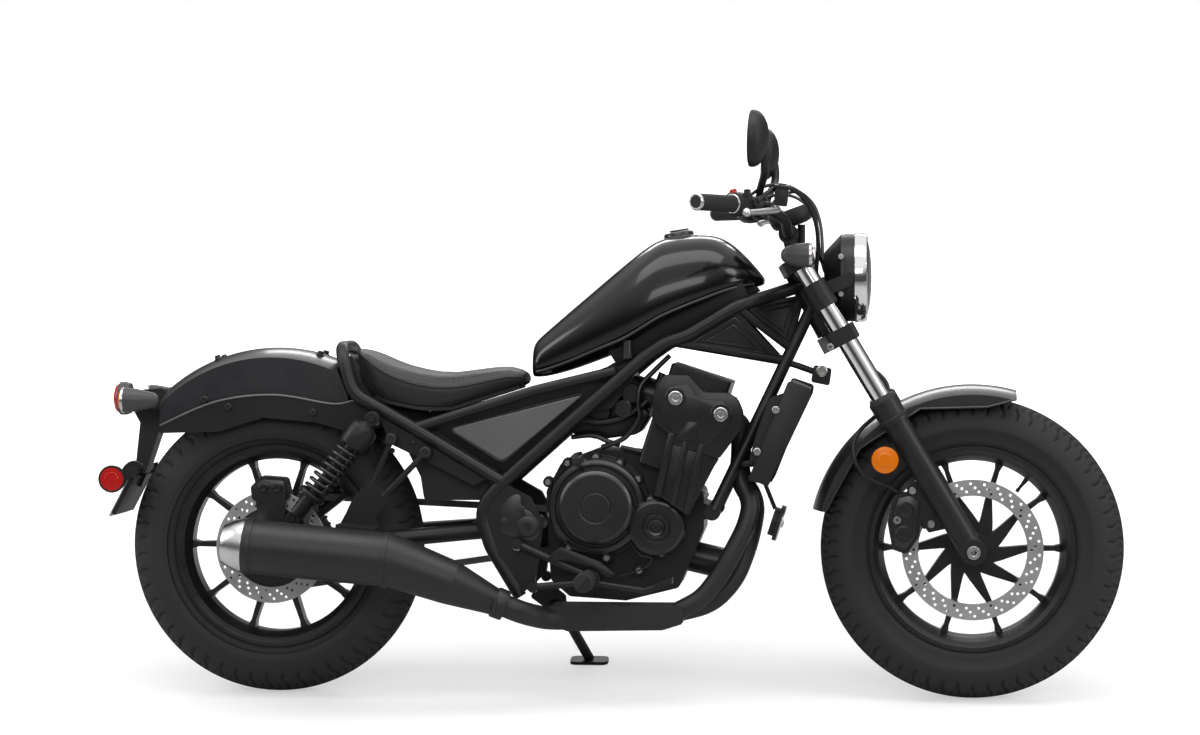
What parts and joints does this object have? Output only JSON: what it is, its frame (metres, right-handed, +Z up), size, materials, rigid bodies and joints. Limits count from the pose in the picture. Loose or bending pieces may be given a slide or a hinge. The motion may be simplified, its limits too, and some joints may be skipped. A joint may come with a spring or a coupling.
{
  "type": "cruiser motorcycle",
  "caption": "Low single-seat cruiser motorcycle parked on its side stand, with turning fork, spinning wheels and a folding stand.",
  "frame": {"origin": "centre of the parked machine's box, on the ground", "axes": "+X forward, +Y to the rider's left, +Z up; the machine leans to +Y"},
  "size_m": [2.181, 0.8127, 1.272],
  "materials": {
    "tyre_rubber": "matt tyre rubber",
    "rubber": "matt black rubber",
    "black_gloss": "gloss black paint",
    "black_satin": "satin black coat",
    "black_matt": "matt black coat",
    "grey_satin": "satin graphite paint",
    "bright_steel": "ground steel",
    "chrome": "polished",
    "chain_steel": "oiled steel",
    "seat_leather": "fine grained vinyl",
    "black_plastic": "moulded plastic",
    "lamp_glass": "clear lens",
    "lamp_red": "red lens",
    "plate_grey": "bare blank sheet"
  },
  "bodies": {
    "chassis": {"airbox": "black_plastic", "battery_box": "black_plastic", "chain": "chain_steel", "crankcase": "black_matt", "cylinder_block": "black_matt", "cylinder_head": "black_matt", "engine_covers": "black_satin", "exhaust_pipes": "black_matt", "fender_stays": "black_satin", "foot_pegs": "black_satin", "frame": "black_satin", "frame_panels": "black_plastic", "fuel_cap": "black_satin", "fuel_tank": "black_gloss", "muffler": "black_matt", "muffler_hanger": "black_satin", "muffler_tip": "bright_steel", "number_plate": "plate_grey", "radiator": "black_matt", "rear_axle": "bright_steel", "rear_caliper": "black_matt", "rear_fender": "black_gloss", "rear_lamps": "lamp_red", "seat": "seat_leather", "shock_absorbers": "black_satin", "side_covers": "grey_satin", "sprocket_cover": "black_satin", "swingarm": "black_satin", "tail_bracket": "black_plastic"},
    "steering": {"upper_clamp": "black_satin", "lower_clamp": "black_satin", "fork_tubes": "chrome", "fork_legs": "black_satin", "front_axle": "bright_steel", "front_caliper": "black_matt", "front_fender": "black_gloss", "handlebar": "black_satin", "grips_and_controls": "rubber", "mirrors": "black_plastic", "dial": "black_plastic", "headlight": "black_satin", "headlight_glass": "lamp_glass", "front_signals": "black_plastic", "brake_hose": "rubber", "control_cables": "rubber"},
    "front_wheel": {"front_wheel": "black_satin", "front_tyre": "tyre_rubber", "front_brake_disc": "bright_steel"},
    "rear_wheel": {"rear_wheel": "black_satin", "rear_tyre": "tyre_rubber", "rear_brake_disc": "bright_steel", "rear_sprocket": "chain_steel"},
    "side_stand": {"side_stand": "black_satin"}
  },
  "joints": [
    {"name": "steering", "type": "hinge", "parent": "chassis", "child": "steering", "pos_m": [0.4339, -0.03819, 0.83054], "axis": [-0.4694, 0.1381, 0.8721], "range_deg": [-38, 38]},
    {"name": "front_wheel_spin", "type": "hinge", "parent": "steering", "child": "front_wheel", "pos_m": [0.7705, -0.11954, 0.31692], "axis": [0, 0.9877, -0.1564], "continuous": true},
    {"name": "rear_wheel_spin", "type": "hinge", "parent": "chassis", "child": "rear_wheel", "pos_m": [-0.7195, -0.12001, 0.31408], "axis": [0, 0.9877, -0.1564], "continuous": true},
    {"name": "side_stand_fold", "type": "hinge", "parent": "chassis", "child": "side_stand", "pos_m": [-0.12752, -0.0121, 0.16431], "axis": [0, 0.9571, 0.2898], "range_deg": [0, 100]}
  ]
}
